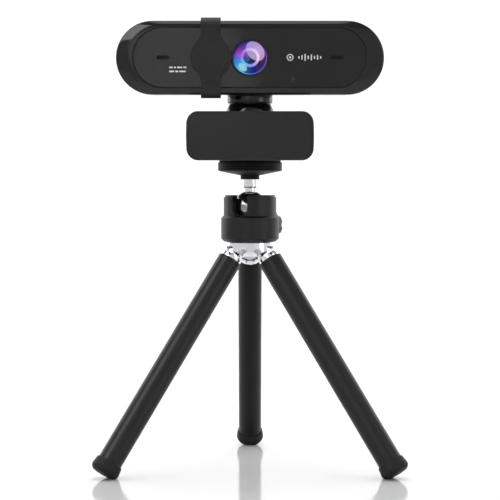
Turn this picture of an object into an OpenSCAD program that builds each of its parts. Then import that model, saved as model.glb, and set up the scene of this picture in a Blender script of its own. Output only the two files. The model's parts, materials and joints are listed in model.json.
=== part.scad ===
/* [Head] */
// Half of the head's length, left to right
head_half_l = 50; // [49:0.5:51]
// Half of the head's height at the front band
head_half_h = 13.8; // [13.8:0.1:14]
// Depth of the head, front to back
head_depth = 27; // [26.5:0.5:29]
// Half length of the flat front panel
panel_half_l = 43.4; // [43:0.1:44]
// Half height of the flat front panel
panel_half_h = 11.1; // [10.8:0.1:11.3]
// Depth of the sloped part of the bezel
slope_depth = 1.7; // [1.5:0.1:1.8]
// Where the glossy band ends, from the front face
band_end = 4.8; // [4.7:0.1:4.9]
// Half height of the rear housing at its front
housing_half_h = 13.4; // [13.2:0.1:13.5]
// How much the rear housing narrows towards the back, each side
housing_draft = 0.55; // [0:0.05:0.8]
// Radius of the rear housing's back edge
rear_edge_r = 3; // [2:0.5:4]
// Wall thickness of the shells
wall = 1.6; // [1.4:0.1:1.7]
// Radius of the lens opening in the front panel
lens_r = 7.1; // [6.8:0.1:7.3]
// Distance of each microphone slot from the lens
mic_x = 32.4; // [31:0.1:33]
// Sideways place of the status lamp
led_x = 16.1; // [15:0.1:18]
// Height of the status lamp, from the lens
led_z = -7.9; // [-8.2:0.1:-7]
// Radius of the cord's bore in the gland
cord_r = 1.8; // [1.5:0.1:2.2]
// Travel space of the focusing barrel
focus_travel = 0.4; // [0.2:0.1:0.5]

/* [Privacy cover] */
// Sideways place of the cover at rest
cover_x = -14.6; // [-30:0.1:30]
// Radius of the cover's disc
cover_r = 7.65; // [7.4:0.05:8]
// Width of the cover's arms
cover_arm_w = 7.4; // [7:0.1:8]
// Half height of the cover, outside
cover_half_h = 14.9; // [14.9:0.1:15]

/* [Neck] */
// Distance of the neck's axis behind the front panel
neck_y = 15.1; // [15:0.1:15.5]
// Radius of the round collar under the head
collar_r = 8.6; // [8:0.1:8.6]
// Radius of the tilting ball
neck_ball_r = 9.24; // [9:0.02:9.3]
// Height of the ball's centre, from the lens
neck_ball_z = -21.5; // [-21.6:0.1:-21.4]

/* [Clip] */
// Half width of the shelf and of the folding leg
clip_half_w = 23.4; // [22:0.1:23.6]
// Height of the shelf's upper face, from the lens
shelf_top_z = -19.9; // [-20:0.1:-19.8]
// Thickness of the shelf
shelf_t = 7.8; // [7.7:0.1:8]
// Radius of the shelf's long upper edges
shelf_side_r = 4; // [2:0.5:4]
// Rear end of the shelf, from the front panel
shelf_rear_y = 60.4; // [60.2:0.1:61]
// Half width of the plate in front of the screen
plate_half_w = 23.85; // [23.5:0.05:24]
// Height of the plate in front of the screen
plate_h = 18.3; // [17:0.1:18.6]
// Corner radius of that plate
plate_corner_r = 4.2; // [3:0.1:5]
// Distance of the clip's hinge behind the front panel
hinge_y = 57; // [56.9:0.1:57.1]
// Height of the clip's hinge, from the lens
hinge_z = -29.2; // [-29.3:0.1:-29.2]
// Length of the folding leg from the hinge to its foot
leg_l = 53; // [50:0.5:53]
// Distance of the leg's outer face from the hinge
leg_face = 8.1; // [8:0.1:8.3]
// Radius of the leg's long outer edges
leg_edge_r = 2.5; // [1:0.5:3]
// Distance of the threaded insert from the hinge
insert_u = 23.5; // [22:0.5:25]

/* [Ball head] */
// Height of the platform's rubber face above the floor
platform_top = 120.4; // [120:0.1:121]
// Radius of the platform
platform_r = 12.5; // [12:0.1:13]
// Radius of the steel ball
ball_r = 6.8; // [6.7:0.1:6.8]
// Height of the steel ball's centre above the floor
ball_z = 101.5; // [101.4:0.1:101.6]
// Radius of the cup around the ball
cup_r = 10.3; // [10.2:0.1:10.8]
// Radius of the collar under the cup
base_r = 11.3; // [11:0.1:11.6]
// Width of the cup's slot
slot_w = 6.3; // [6.2:0.1:6.8]
// Direction of the cup's slot, in degrees from the right
slot_turn = 246; // [240:1:250]
// Radius of the lock knob
knob_r = 6; // [5:0.1:7]

/* [Tripod legs] */
// Spread of each leg from upright
leg_spread = 34.6; // [30:0.1:36]
// Height of the leg pivots above the floor
pivot_z = 84.6; // [84.5:0.1:84.7]
// Distance of the leg pivots from the middle
pivot_r = 6.8; // [6.7:0.1:6.9]
// Radius of the leg tubes
tube_r = 4.7; // [4.2:0.1:4.7]
// Radius of the rubber feet
foot_r = 5.6; // [5.2:0.1:5.6]
// Radius of the hub
hub_r = 9.3; // [9:0.1:9.5]

/* [Hidden] */
$fn = 96;

charcoal = "#2b2b2c";
gloss_black = "#101012";
steel = "#c9c9cc";
rubber = "#1a1a1a";
board_green = "#1f5a38";
cover_black = "#1e1e1f";
mesh_grey = "#333336";
chip_grey = "#444450";
lamp_green = "#0f3a20";
seat_ivory = "#fffff0";
glass_violet = [0.5, 0.5, 0.8, 0.5];
element_violet = [0.6, 0.5, 0.9, 0.5];

// Clearances: a snug fit, a running fit, and the least gap between moving faces
snug = 0.02;
running = 0.05;
gap = 0.3;
// Overrun of a cutting shape past the face that it cuts
cut = 1;

// A foot's rounded rim is a ring, which dips below the floor before it is cut flat
foot_round = 2.2;
foot_dip = 0.4;
foot_ring_r = foot_r - foot_round;
foot_ring_z = foot_ring_r * sin(leg_spread) + foot_round - foot_dip;
foot_ring_s = (pivot_z - foot_ring_z) / cos(leg_spread);

// How far a foot's ring reaches from its middle, seen from above, at an angle from its leg
function foot_reach(angle) =
    foot_round + foot_ring_r * sqrt(pow(cos(leg_spread) * cos(angle), 2) + pow(sin(angle), 2));

// The tripod's axis stands under the threaded insert, and the three feet are centred on the origin
leg_reach = pivot_r + foot_ring_s * sin(leg_spread);
axis_y = (leg_reach / 2 + foot_reach(60) - leg_reach - foot_reach(0)) / 2;
head_z = platform_top - hinge_z + leg_face;
head_y = axis_y - (hinge_y - insert_u);
leg_turns = [210, 330, 90];

// Stem between the steel ball and the platform
stem_r = 2.9;
stem_top = 112.5;
waist_r = 2.4;
// Depth of the waist's end in the ball, below the ball's top
waist_deep = 4.8;
neck_cone_h = 0.5;
stem_pin_r = 1.5;

// Platform, its rubber face and the quarter-inch stud
platform_t = 3.7;
platform_cone_h = 1.7;
pad_t = 0.8;
stud_r = 3.175;
stud_h = 3.9;
stud_bore_r = 3.2;
stud_flange_r = 5;
stud_flange_t = 1.2;

// Cup, collar, seat and lock of the ball head, as heights above the floor
cup_low = 98.4;
cup_top = 106.5;
cup_edge = 0.8;
cup_tilt = 30;
base_low = 88.3;
base_floor = base_low + 1.5;
seat_r = 6.9;
seat_low = 91.3;
knob_axis_z = 94.6;

// Lock screw and knob, as distances from the tripod's axis
lock_r = 2;
lock_tip_l = 0.8;
lock_in = 5.3;
lock_out = 15;
knob_in = 13;
knob_out = 19.5;

// Hub and the tops of the legs; the distances down a leg start at its pivot
hub_low = 82.6;
hub_top = 88.2;
hub_edge = 0.3;
hub_screw_r = 2;
knuckle_w = 4.1;
knuckle_r = 1.9;
tongue_t = 3.4;
pin_r = 1;
pin_l = 11;
slot_hub_w = knuckle_w + 0.2;
tube_from = 4;
tube_to = foot_ring_s - 0.5;
tube_wall = 0.8;
plug_l = 8;
foot_lip_r = 0.4;
foot_top_r = tube_r + 0.5;
foot_side = 3.1;
foot_h = foot_side + foot_round;
foot_from = foot_ring_s - foot_side;

// Head: depths start at the front panel and heights at the lens
panel_t = 1;
// Depth of the front panel's face behind the bezel's front
panel_sink = 0.1;
panel_back = panel_sink + panel_t;
housing_from = band_end + 0.4;
housing_middle = head_half_l - head_half_h;
trim_half_h = 13.5;
screw_head_r = 2;
post_x = 44.6;
// Where the bezel's screw posts meet those of the housing
post_split = 12;
post_screw_r = 0.78;
post_screw_head = 14.1;
mic_half_l = 2.25;
mic_half_h = 0.65;
led_r = 1;
gland_r = 3;
gland_flange_r = 4;
gland_proud = 0.8;

// Camera unit
board_y = 14;
board_t = 1;
main_y = 19;
board_half_h = 8.3;
board_half_l = 9;
main_half_l = 38;
board_post_x = 7.8;
board_post_z = 6.9;
barrel_r = 5;
barrel_front = panel_back + 0.7 + focus_travel;
barrel_rear = 11.4;
// Steps inside the barrel, each with its lens element
step_r = [4.2, 3.5, 2.8];
holder_front = 4;
holder_rear = 12;

// Neck between the head and the shelf
collar_top = -12.6;
collar_low = -16.6;
collar_edge = 0.4;
neck_top = -16.7;
neck_low = -24.8;
neck_floor = -26.9;
neck_pin_r = 2;
pin_top = -9.4;
pin_head_r = 3;
pin_head_t = 0.6;

// Shelf and the plate in front of the screen
split_z = -23.8;
shelf_screw_x = 17;
shelf_screw_ys = [9, 44];
shelf_screw_r = 0.88;
shelf_head_low = split_z - 3.8;
shelf_head_top = split_z - 2.6;
plate_front_y = -0.55;
plate_back_y = 2.25;
plate_edge = 0.4;
// The lip pad's size and its centre above the plate's lower edge
lip_w = 40;
lip_h = 8.4;
lip_z = 6;

// Clip hinge and folding leg
barrel_hinge_r = 3.25;
hinge_gap_r = 3.6;
sleeve_half_w = 9.2;
sleeve_r = 3;
shaft_r = 1.6;
cap_r = 2.5;
// Sleeve's tab that keys it into the shelf
tab_w = 2 * sleeve_half_w - 2;
tab_t = 2.4;
tab_h = 4.6;
// Inner face of the leg's thin part, and where its grip pad starts
leg_inner = 3.2;
pad_from = 36;
insert_r = 3.8;

// Privacy cover: front face, thickness, and where its arms bend back
cover_front = -1.75;
cover_t = 1.3;
cover_step = 0.15;
cover_bend_z = 12.2;

// Placing helpers

module at_head() {
    translate([0, head_y, head_z]) children();
}

module at_tripod() {
    translate([0, axis_y, 0]) children();
}

module along_y(from, to) {
    translate([0, to, 0]) rotate([90, 0, 0]) linear_extrude(to - from) children();
}

module along_x(from, to) {
    translate([from, 0, 0]) rotate([90, 0, 90]) linear_extrude(to - from) children();
}

module rod(r, from, to) {
    translate([0, 0, from]) cylinder(r = r, h = to - from);
}

module rod_y(r, from, to) {
    translate([0, from, 0]) rotate([-90, 0, 0]) cylinder(r = r, h = to - from);
}

module rod_x(r, from, to) {
    translate([from, 0, 0]) rotate([0, 90, 0]) cylinder(r = r, h = to - from);
}

// An outline with round ends
module stadium(half_l, half_h) {
    square([2 * (half_l - half_h), 2 * half_h], center = true);
    for (side = [-1, 1]) translate([side * (half_l - half_h), 0]) circle(r = half_h);
}

module stadium_plate(half_l, half_h, from, to) {
    along_y(from, to) stadium(half_l, half_h);
}

// A plate with rounded corners, centred, standing upright
module round_rect(w, h, r) {
    square([w - 2 * r, h], center = true);
    square([w, h - 2 * r], center = true);
    for (sx = [-1, 1], sz = [-1, 1])
        translate([sx * (w / 2 - r), sz * (h / 2 - r)]) circle(r = r);
}

// The solid swept by a profile of distance and depth round a stadium's two ends
module stadium_solid(middle) {
    for (side = [-1, 1])
        translate([side * middle, 0, 0]) rotate([-90, 0, 0]) rotate([0, 0, side * -90])
            rotate_extrude(angle = 180) children();
    for (turn = [-90, 90])
        rotate([0, turn, 0]) translate([0, 0, -middle]) linear_extrude(2 * middle) children();
}

// The rear housing's outline in distance and depth, shrunk by an inset
module housing_profile(inset) {
    front_r = housing_half_h - inset;
    back_r = housing_half_h - housing_draft - inset;
    edge = rear_edge_r - inset / 2;
    back = head_depth - inset;
    polygon(concat([[0, housing_from], [front_r, housing_from], [back_r, back - edge]],
                   [for (a = [15:15:90]) [back_r - edge + edge * cos(a), back - edge + edge * sin(a)]],
                   [[0, back]]));
}

module housing_solid(inset) {
    stadium_solid(housing_middle) housing_profile(inset);
}

// A cross recess cut into a screw head whose face looks towards +Z
module cross_recess(r, depth) {
    for (turn = [0, 90])
        rotate([0, 0, turn]) cube([2 * r, r * 0.45, 2 * depth], center = true);
}

// Tripod legs and hub

module hub() {
    disc_low = pivot_z + knuckle_r + 0.1;
    cone_h = 1.8;
    color(steel) at_tripod() difference() {
        union() {
            translate([0, 0, hub_low]) cylinder(r1 = hub_r - 2, r2 = hub_r, h = cone_h);
            rod(hub_r, hub_low + cone_h, hub_top - hub_edge);
            rod(hub_r - hub_edge, hub_top - hub_edge, hub_top);
        }
        for (turn = leg_turns) rotate([0, 0, turn]) {
            translate([pivot_r - knuckle_r - gap, -slot_hub_w / 2, hub_low - cut])
                cube([hub_r, slot_hub_w, disc_low - hub_low + cut]);
            translate([pivot_r, 0, pivot_z]) rotate([90, 0, 0])
                cylinder(r = pin_r + snug, h = 2 * hub_r, center = true);
        }
        rod(hub_screw_r + snug, hub_low - cut, hub_top + cut);
    }
}

module hub_screw() {
    head_r = 4;
    head_low = base_floor + 0.2;
    head_top = seat_low - gap;
    color(steel) at_tripod() {
        rod(hub_screw_r, hub_low + 0.5, head_low);
        difference() {
            rod(head_r, head_low, head_top);
            translate([0, 0, head_top]) cross_recess(2.6, 0.5);
        }
    }
}

module pivot_pins() {
    color(steel) at_tripod() for (turn = leg_turns) rotate([0, 0, turn])
        translate([pivot_r, 0, pivot_z]) rotate([90, 0, 0])
            cylinder(r = pin_r, h = pin_l, center = true);
}

// Frame of one leg: +Z runs down the leg from its pivot
module at_leg(turn) {
    at_tripod() rotate([0, 0, turn]) translate([pivot_r, 0, pivot_z])
        rotate([0, 180 - leg_spread, 0]) children();
}

module leg_knuckle(turn) {
    cap_from = tube_from - 1.8;
    cap_edge = 0.3;
    color(steel) at_leg(turn) difference() {
        union() {
            rotate([90, 0, 0]) cylinder(r = knuckle_r, h = knuckle_w, center = true);
            translate([-tongue_t / 2, -knuckle_w / 2, 0]) cube([tongue_t, knuckle_w, tube_from]);
            rod(tube_r - 2 * cap_edge, cap_from, cap_from + cap_edge);
            rod(tube_r - cap_edge, cap_from + cap_edge, tube_from);
            rod(tube_r - tube_wall - snug, tube_from, tube_from + plug_l);
        }
        rotate([90, 0, 0]) cylinder(r = pin_r + running, h = 2 * knuckle_w, center = true);
    }
}

module leg_tube(turn) {
    color(charcoal) at_leg(turn) difference() {
        rod(tube_r, tube_from, tube_to);
        rod(tube_r - tube_wall, tube_from - cut, tube_to + cut);
    }
}

// Half of a foot's section: a narrow lip, a side that flares out and a rounded rim
module foot_section() {
    polygon([
        [0, 0], [foot_top_r - foot_lip_r, 0], [foot_top_r, foot_lip_r],
        [foot_r, foot_side], [foot_ring_r, foot_h], [0, foot_h],
    ]);
    translate([foot_top_r - foot_lip_r, foot_lip_r]) circle(r = foot_lip_r);
    translate([foot_ring_r, foot_side]) circle(r = foot_round);
}

// A foot is cut flat where it meets the floor
module leg_foot(turn) {
    below = 300;
    color(rubber) difference() {
        at_leg(turn) difference() {
            translate([0, 0, foot_from]) rotate_extrude() foot_section();
            rod(tube_r + snug, foot_from - cut, tube_to);
        }
        translate([-below / 2, -below / 2, -below]) cube(below);
    }
}

module left_knuckle() { leg_knuckle(leg_turns[0]); }
module left_tube() { leg_tube(leg_turns[0]); }
module left_foot() { leg_foot(leg_turns[0]); }
module right_knuckle() { leg_knuckle(leg_turns[1]); }
module right_tube() { leg_tube(leg_turns[1]); }
module right_foot() { leg_foot(leg_turns[1]); }
module rear_knuckle() { leg_knuckle(leg_turns[2]); }
module rear_tube() { leg_tube(leg_turns[2]); }
module rear_foot() { leg_foot(leg_turns[2]); }

// Ball head

module at_knob() {
    at_tripod() rotate([0, 0, slot_turn + 180]) translate([0, 0, knob_axis_z])
        rotate([0, 90, 0]) children();
}

module base_collar() {
    low_edge = 1.2;
    top_edge = 0.8;
    color(charcoal) difference() {
        at_tripod() difference() {
            union() {
                translate([0, 0, base_low])
                    cylinder(r1 = base_r - low_edge, r2 = base_r, h = low_edge);
                rod(base_r, base_low + low_edge, cup_low - top_edge);
                translate([0, 0, cup_low - top_edge])
                    cylinder(r1 = base_r, r2 = base_r - top_edge, h = top_edge);
            }
            rod(seat_r + 0.1, base_floor, cup_low + cut);
            rod(hub_screw_r + running, base_low - cut, base_floor + cut);
        }
        at_knob() rod(lock_r + running, 0, base_r + cut);
    }
}

// The stem swings inside a cone in the cup, and on one side down a slot
module ball_cup() {
    cone_r = (stem_r + gap) / cos(cup_tilt);
    cone_h = cup_top - ball_z + cut;
    seat_mouth_r = sqrt(ball_r * ball_r - pow(ball_z - cup_low, 2));
    color(charcoal) at_tripod() difference() {
        union() {
            rod(cup_r, cup_low, cup_top - cup_edge);
            rod(cup_r - 0.5, cup_top - cup_edge, cup_top);
        }
        translate([0, 0, ball_z]) sphere(r = ball_r + running);
        rod(seat_mouth_r + gap, cup_low - cut, ball_z - 2);
        translate([0, 0, ball_z])
            cylinder(r1 = cone_r, r2 = cone_r + cone_h * tan(cup_tilt), h = cone_h);
        rotate([0, 0, slot_turn]) {
            translate([0, -slot_w / 2, ball_z]) cube([2 * cup_r, slot_w, 2 * cup_r]);
            translate([0, 0, ball_z]) rod_x(slot_w / 2, 0, 2 * cup_r);
        }
    }
}

module ball_seat() {
    color(seat_ivory) difference() {
        at_tripod() difference() {
            rod(seat_r, seat_low, cup_low - 0.2);
            translate([0, 0, ball_z]) sphere(r = ball_r + running);
        }
        at_knob() rod(lock_r + gap, lock_in - 0.4, seat_r + cut);
    }
}

module lock_screw() {
    color(steel) at_knob() {
        rod(lock_r, lock_in + lock_tip_l, lock_out);
        translate([0, 0, lock_in]) cylinder(r1 = lock_r / 2, r2 = lock_r, h = lock_tip_l);
    }
}

module lock_knob() {
    scallops = 8;
    scallop_r = 1.5;
    edge = 0.8;
    boss_r = 3.4;
    color(gloss_black) at_knob() difference() {
        union() {
            rod(boss_r, base_r + gap, knob_in);
            rod(knob_r, knob_in, knob_out - edge);
            rod(knob_r - edge, knob_out - edge, knob_out);
        }
        rod(lock_r + snug, 0, lock_out);
        for (i = [0:scallops - 1]) rotate([0, 0, i * 360 / scallops])
            translate([knob_r + 0.9, 0, knob_in - cut]) cylinder(r = scallop_r, h = knob_out);
    }
}

module ball() {
    color(steel) at_tripod() difference() {
        translate([0, 0, ball_z]) sphere(r = ball_r);
        rod(waist_r + snug, ball_z + ball_r - waist_deep, ball_z + 2 * ball_r);
    }
}

module ball_stem() {
    waist_top = ball_z + ball_r + 1;
    color(steel) at_tripod() {
        rod(waist_r, ball_z + ball_r - waist_deep, waist_top);
        translate([0, 0, waist_top]) cylinder(r1 = waist_r, r2 = stem_r, h = neck_cone_h);
        rod(stem_r, waist_top + neck_cone_h, stem_top);
        rod(stem_pin_r, stem_top, platform_top - pad_t - 2);
    }
}

module platform() {
    face = platform_top - pad_t;
    disc_low = face - platform_t;
    cone_low = disc_low - platform_cone_h;
    neck_r = 3.7;
    low_edge = 0.2;
    top_edge = 0.4;
    color(charcoal) at_tripod() difference() {
        union() {
            rod(neck_r, stem_top + 0.1, cone_low);
            translate([0, 0, cone_low])
                cylinder(r1 = neck_r + 0.3, r2 = platform_r - low_edge, h = platform_cone_h);
            rod(platform_r - low_edge, disc_low, disc_low + low_edge);
            rod(platform_r, disc_low + low_edge, face - top_edge);
            rod(platform_r - top_edge, face - top_edge, face);
        }
        rod(stem_pin_r + running, stem_top - cut, platform_top);
        rod(stud_flange_r + snug, face - stud_flange_t, platform_top);
    }
}

module platform_pad() {
    color(rubber) at_tripod() difference() {
        rod(platform_r - 0.5, platform_top - pad_t, platform_top);
        rod(stud_r + 0.2, platform_top - 2, platform_top + cut);
    }
}

module mounting_screw() {
    face = platform_top - pad_t;
    tip = 0.6;
    color(steel) at_tripod() {
        rod(stud_flange_r, face - stud_flange_t, face);
        rod(stud_r, face, platform_top + stud_h);
        translate([0, 0, platform_top + stud_h]) cylinder(r1 = stud_r, r2 = stud_r - tip, h = tip);
    }
}

// Clip

// Frame of the folded leg's side outline: u along the leg from the hinge, v down
module leg_outline() {
    foot_u = 38.7;
    foot_v = 1.4;
    step = 2.1;
    corner = 5;
    edge = 1;
    difference() {
        union() {
            polygon([[0, 0], [1.2, leg_inner], [-0.2, leg_face - 0.5], [0.3, leg_face],
                     [leg_l - edge, leg_face], [leg_l, leg_face - edge], [leg_l, foot_v + corner],
                     [leg_l - corner, foot_v], [foot_u, foot_v], [foot_u - step, leg_inner],
                     [6.8, leg_inner], [5.6, leg_inner - 0.7], [barrel_hinge_r, 0]]);
            intersection() {
                translate([leg_l - corner, foot_v + corner]) circle(r = corner);
                square([leg_l, foot_v + corner]);
            }
            circle(r = barrel_hinge_r);
        }
        circle(r = shaft_r + snug);
    }
}

module at_hinge() {
    at_head() translate([0, hinge_y, hinge_z]) children();
}

// Turns an outline in u and v into a solid across the clip's width
module across_leg(from, to) {
    at_hinge() rotate([180, 0, 0]) along_x(from, to) children();
}

// The part of that outline that the grip pad takes up
module pad_zone() {
    translate([pad_from, -cut]) square([leg_l, cut + leg_inner]);
}

module folding_leg() {
    color(charcoal) difference() {
        intersection() {
            across_leg(-clip_half_w, clip_half_w) difference() {
                leg_outline();
                pad_zone();
            }
            at_hinge() along_y(-leg_l - cut, 2 * leg_face)
                round_rect(2 * clip_half_w, 2 * leg_face, leg_edge_r);
        }
        at_hinge() {
            rod_x(hinge_gap_r, -sleeve_half_w - gap, sleeve_half_w + gap);
            for (side = [-1, 1]) rod_x(cap_r, side * clip_half_w - cut, side * clip_half_w + cut);
            translate([0, -insert_u, -leg_face - cut]) cylinder(r = insert_r + snug, h = leg_face);
        }
    }
}

module leg_pad() {
    color(rubber) across_leg(-clip_half_w, clip_half_w) intersection() {
        leg_outline();
        pad_zone();
    }
}

// The tripod socket: shallow grooves stand for its thread, and its inner mouth is bevelled
module thread_insert() {
    height = leg_face - leg_inner + 0.1;
    pitch = 0.75;
    groove = 0.25;
    color(steel) at_hinge() translate([0, -insert_u, -leg_face]) difference() {
        rod(insert_r, 0, height);
        rod(stud_bore_r, -cut, height + cut);
        for (i = [0:4]) translate([0, 0, 0.9 + pitch * i]) rotate_extrude()
            polygon([[stud_bore_r - 0.1, -groove], [stud_bore_r + groove, 0],
                     [stud_bore_r - 0.1, groove]]);
        translate([0, 0, height - 0.6])
            cylinder(r1 = stud_bore_r, r2 = stud_bore_r + 0.7, h = 0.7);
    }
}

module hinge_shaft() {
    color(steel) at_hinge() rod_x(shaft_r, -clip_half_w + cut, clip_half_w - cut);
}

module hinge_screws() {
    head_t = 1;
    color(steel) at_hinge() for (side = [-1, 1]) difference() {
        translate([side * (clip_half_w - head_t / 2), 0, 0])
            rod_x(cap_r - 0.1, -head_t / 2, head_t / 2);
        translate([side * clip_half_w, 0, 0]) rotate([0, 90, 0]) cross_recess(1.5, 0.5);
    }
}

module friction_sleeve() {
    color(steel) at_hinge() difference() {
        union() {
            rod_x(sleeve_r, -sleeve_half_w, sleeve_half_w);
            translate([-tab_w / 2, -tab_t / 2, 0]) cube([tab_w, tab_t, tab_h]);
        }
        rod_x(shaft_r + running, -sleeve_half_w - cut, sleeve_half_w + cut);
    }
}

// The shelf's side outline in depth and height
module shelf_outline() {
    low = shelf_top_z - shelf_t;
    top_r = 6;
    front = plate_back_y;
    // Lower rear corner, open for the folded leg
    open_h = 2.5;
    difference() {
        union() {
            translate([front, low]) square([shelf_rear_y - top_r - front, shelf_t]);
            translate([front, low]) square([shelf_rear_y - front, shelf_t - top_r]);
            intersection() {
                translate([shelf_rear_y - top_r, shelf_top_z - top_r]) circle(r = top_r);
                translate([hinge_y - top_r, low]) square([4 * top_r, shelf_t]);
            }
        }
        translate([hinge_y, hinge_z]) circle(r = hinge_gap_r);
        translate([hinge_y, low - cut]) square([shelf_rear_y, cut + open_h]);
    }
}

module neck_socket() {
    translate([0, neck_y, neck_ball_z]) intersection() {
        sphere(r = neck_ball_r + running);
        rod(2 * neck_ball_r, neck_floor - neck_ball_z, 2 * neck_ball_r);
    }
}

// One half of the shelf, split at the neck ball's widest seat
module shelf_half(low) {
    wide = 200;
    intersection() {
        along_x(-clip_half_w, clip_half_w) shelf_outline();
        translate([-wide / 2, -wide / 2, low]) cube([wide, wide, shelf_t * 2]);
        translate([0, 0, shelf_top_z - 2 * shelf_t]) along_y(0, shelf_rear_y + cut)
            round_rect(2 * clip_half_w, 4 * shelf_t, shelf_side_r);
    }
}

module shelf_top() {
    color(charcoal) at_head() difference() {
        shelf_half(split_z);
        neck_socket();
        for (side = [-1, 1], y = shelf_screw_ys) translate([side * shelf_screw_x, y, 0])
            rod(shelf_screw_r + snug, split_z - cut, shelf_top_z - 1.2);
        sleeve_tab_slot();
    }
}

module sleeve_tab_slot() {
    translate([0, hinge_y, hinge_z + tab_h - 2 + snug])
        cube([tab_w + snug, tab_t + snug, 4], center = true);
}

module shelf_bottom() {
    color(charcoal) at_head() difference() {
        shelf_half(split_z - shelf_t * 2);
        neck_socket();
        for (side = [-1, 1], y = shelf_screw_ys) translate([side * shelf_screw_x, y, 0]) {
            rod(shelf_screw_r + snug, shelf_head_low, split_z + cut);
            rod(screw_head_r + 0.1, shelf_head_low - 2 * cut, shelf_head_top);
        }
        sleeve_tab_slot();
    }
}

module shelf_screws() {
    color(steel) at_head() for (side = [-1, 1], y = shelf_screw_ys)
        translate([side * shelf_screw_x, y, 0]) {
            rod(shelf_screw_r, shelf_head_top - 0.1, split_z + 2.4);
            difference() {
                rod(screw_head_r, shelf_head_low, shelf_head_top);
                translate([0, 0, shelf_head_low]) cross_recess(1.3, 0.5);
            }
        }
}

module front_plate() {
    bevel = 0.3;
    color(charcoal) at_head() translate([0, 0, shelf_top_z - plate_h / 2]) difference() {
        union() {
            along_y(plate_front_y + plate_edge, plate_back_y)
                round_rect(2 * plate_half_w, plate_h, plate_corner_r);
            along_y(plate_front_y, plate_front_y + plate_edge)
                round_rect(2 * (plate_half_w - bevel), plate_h - 2 * bevel, plate_corner_r - bevel);
        }
        translate([0, plate_back_y, lip_z - plate_h / 2]) cube([lip_w, 1, lip_h], center = true);
    }
}

module lip_pad() {
    color(rubber) at_head() translate([0, plate_back_y, shelf_top_z - plate_h + lip_z])
        cube([lip_w - 0.2, 1, lip_h - 0.2], center = true);
}

// Neck

module neck_ball() {
    color(gloss_black) at_head() difference() {
        translate([0, neck_y, neck_ball_z]) intersection() {
            sphere(r = neck_ball_r);
            rod(2 * neck_ball_r, neck_low - neck_ball_z, neck_top - neck_ball_z);
        }
        translate([0, neck_y, 0]) {
            rod(neck_pin_r + snug, neck_low - cut, neck_top + cut);
            rod(pin_head_r + snug, neck_low - cut, neck_low + pin_head_t);
        }
    }
}

module swivel_pin() {
    color(steel) at_head() translate([0, neck_y, 0]) {
        rod(neck_pin_r, neck_low + pin_head_t, pin_top);
        rod(pin_head_r, neck_low, neck_low + pin_head_t);
    }
}

// A washer and a six-sided nut on the end of the swivel pin
module pin_nut() {
    washer_low = collar_top + 1.4;
    washer_t = 0.4;
    nut_t = 1.2;
    color(steel) at_head() translate([0, neck_y, 0]) difference() {
        union() {
            rod(3.4, washer_low, washer_low + washer_t);
            translate([0, 0, washer_low + washer_t]) cylinder(r = 3.1, h = nut_t, $fn = 6);
        }
        rod(neck_pin_r, collar_low, 0);
    }
}

module neck_collar() {
    color(gloss_black) at_head() difference() {
        translate([0, neck_y, 0]) difference() {
            union() {
                rod(collar_r - collar_edge, collar_low, collar_low + collar_edge);
                rod(collar_r, collar_low + collar_edge, collar_top);
            }
            rod(neck_pin_r + running, collar_low - cut, 0);
        }
        housing_solid(0);
    }
}

// Head

module front_bezel() {
    lip = 1.6;
    band_from = slope_depth + 0.9;
    hull_fn = 64;
    color(gloss_black) at_head() {
        difference() {
            union() {
                hull() {
                    stadium_plate(panel_half_l + 0.5, panel_half_h + 0.3, 0, 0.1, $fn = hull_fn);
                    stadium_plate(head_half_l, head_half_h, slope_depth, slope_depth + 0.1,
                                  $fn = hull_fn);
                }
                stadium_plate(head_half_l, head_half_h, slope_depth, band_end);
            }
            stadium_plate(panel_half_l, panel_half_h, -cut, panel_back);
            stadium_plate(panel_half_l - lip, panel_half_h - lip, 0, slope_depth + cut);
            stadium_plate(head_half_l - wall, head_half_h - wall, band_from, band_end + cut);
        }
        for (side = [-1, 1]) translate([side * post_x, 0, 0]) difference() {
            rod_y(2.3, slope_depth + 0.8, post_split);
            rod_y(post_screw_r + snug, slope_depth + 2, post_split + cut);
        }
    }
}

module front_panel() {
    color(gloss_black) at_head() difference() {
        stadium_plate(panel_half_l - snug, panel_half_h - snug, panel_sink, panel_back);
        rod_y(lens_r, -cut, 2 * panel_t);
        for (side = [-1, 1]) translate([side * mic_x, 0, 0])
            stadium_plate(mic_half_l, mic_half_h, -cut, 2 * panel_t);
        translate([led_x, 0, led_z]) rod_y(led_r, -cut, 2 * panel_t);
    }
}

module trim_ring() {
    depth = 3.2;
    color(steel) at_head() difference() {
        stadium_plate(housing_middle + trim_half_h, trim_half_h, band_end, housing_from);
        stadium_plate(head_half_l - depth, head_half_h - depth, 0, head_depth);
    }
}

module rear_housing() {
    wide = 3 * head_half_l;
    color(charcoal) at_head() difference() {
        union() {
            difference() {
                housing_solid(0);
                difference() {
                    housing_solid(wall);
                    translate([-wide / 2, head_depth - wall, -head_half_h])
                        cube([wide, head_depth, 2 * head_half_h]);
                }
                stadium_plate(housing_middle + housing_half_h - wall, housing_half_h - wall,
                              housing_from - cut, housing_from + 0.01);
            }
            for (side = [-1, 1]) translate([side * post_x, 0, 0])
                rod_y(2.7, post_split + 0.1, head_depth - wall + 0.1);
        }
        for (side = [-1, 1]) translate([side * post_x, 0, 0]) {
            rod_y(screw_head_r + 0.2, post_screw_head - 0.1, head_depth + cut);
            rod_y(1.1, post_split, post_screw_head + cut);
        }
        rod_y(gland_r + snug, head_depth - 2 * wall, head_depth + cut);
        translate([0, neck_y, 0]) rod(neck_pin_r + running, collar_low, -5);
    }
}

module housing_screws() {
    head_end = post_screw_head + 1.3;
    color(steel) at_head() for (side = [-1, 1]) translate([side * post_x, 0, 0]) {
        rod_y(post_screw_r, 6, post_screw_head + 0.1);
        difference() {
            rod_y(screw_head_r, post_screw_head, head_end);
            translate([0, head_end, 0]) rotate([-90, 0, 0]) cross_recess(1.3, 0.6);
        }
    }
}

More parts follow.
